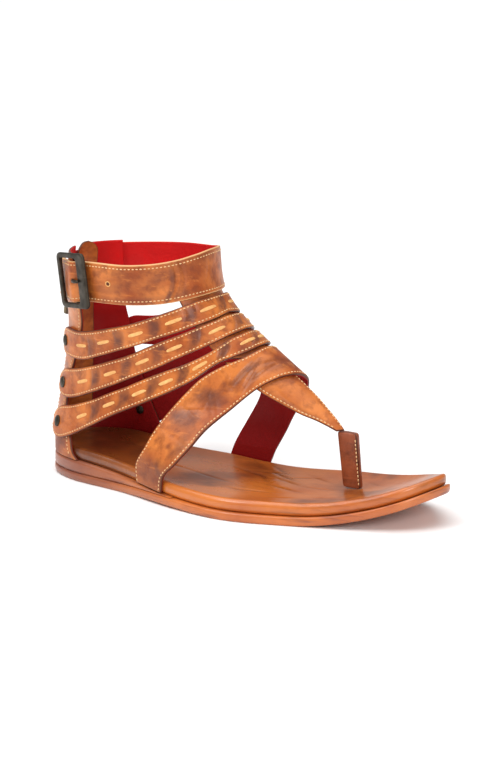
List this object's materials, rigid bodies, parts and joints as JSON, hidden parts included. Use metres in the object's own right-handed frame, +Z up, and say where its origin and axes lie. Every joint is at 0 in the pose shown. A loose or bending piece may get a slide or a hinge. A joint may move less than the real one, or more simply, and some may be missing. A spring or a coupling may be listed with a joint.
{
  "type": "gladiator sandal",
  "caption": "Flat leather gladiator sandal for the right foot, with laced instep straps, buckled ankle strap, toe thong and back zip.",
  "frame": {"origin": "on the floor, at the centre of the heel's flat tread", "axes": "+X forward to the toes, +Y to the inner (medial) side of the foot, +Z up"},
  "size_m": [0.262, 0.1018, 0.14],
  "materials": {
    "sole_leather": "waxed edge",
    "footbed_leather": "polished",
    "tan_leather": "burnished pull-up",
    "lining": "matte",
    "zip_cloth": "woven",
    "zip_metal": "dark antique",
    "buckle_metal": "dark gunmetal"
  },
  "bodies": {
    "shoe": {"outsole": "sole_leather", "heel_wedge": "sole_leather", "footbed": "footbed_leather", "counter_lateral": "tan_leather", "counter_medial": "tan_leather", "strap_upper": "tan_leather", "strap_middle": "tan_leather", "strap_lower": "tan_leather", "instep_panel": "tan_leather", "vamp_strap": "tan_leather", "toe_thong": "tan_leather", "toe_post": "tan_leather", "ankle_strap": "tan_leather", "buckle_tab": "tan_leather", "zip_guard": "lining", "zip_tape_lateral": "zip_cloth", "zip_tape_medial": "zip_cloth", "zip_chain": "zip_metal", "zip_slider": "zip_metal", "buckle_frame": "buckle_metal", "buckle_prong": "buckle_metal", "rivet_lateral_1": "buckle_metal", "rivet_lateral_2": "buckle_metal", "rivet_lateral_3": "buckle_metal", "rivet_medial_1": "buckle_metal", "rivet_medial_2": "buckle_metal", "rivet_medial_3": "buckle_metal"},
    "zip_pull": {"zip_pull": "zip_metal"}
  },
  "joints": [
    {"name": "zip_pull_hinge", "type": "hinge", "parent": "shoe", "child": "zip_pull", "pos_m": [-0.02548, 0, 0.12459], "axis": [0, 1, 0], "range_deg": [-5, 150]}
  ]
}
